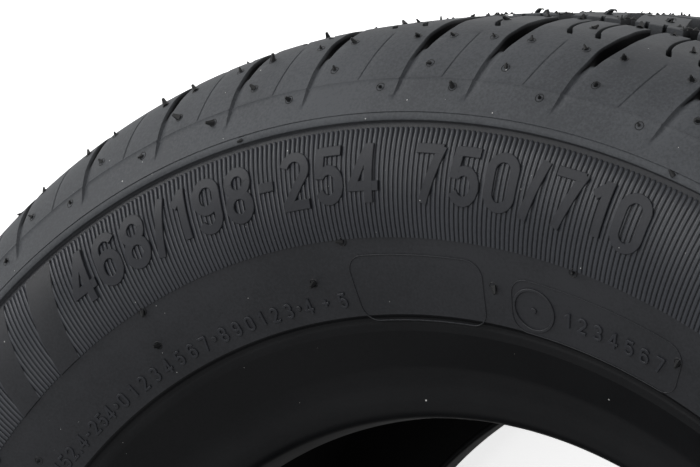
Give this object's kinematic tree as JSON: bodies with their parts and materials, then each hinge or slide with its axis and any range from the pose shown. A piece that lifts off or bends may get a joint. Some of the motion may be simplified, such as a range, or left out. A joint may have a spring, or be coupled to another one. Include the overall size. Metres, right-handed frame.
{
  "type": "car tyre",
  "caption": "Low-profile trailer or van tyre, one moulded rubber piece: open inside, two beads, ribbed sidewall band, three ring grooves and curved shoulder grooves",
  "frame": {"origin": "centre of the tyre: on its axle line, in the middle plane of the tread", "axes": "+Z is the axle line, pointing out of the sidewall that is seen, with the tyre lying on its other side; +Y is the top of the tyre as it is seen, +X is to the right"},
  "size_m": [0.4684, 0.4684, 0.198],
  "materials": {
    "rubber": "matte"
  },
  "bodies": {
    "root": {"tyre": "rubber"}
  },
  "joints": []
}
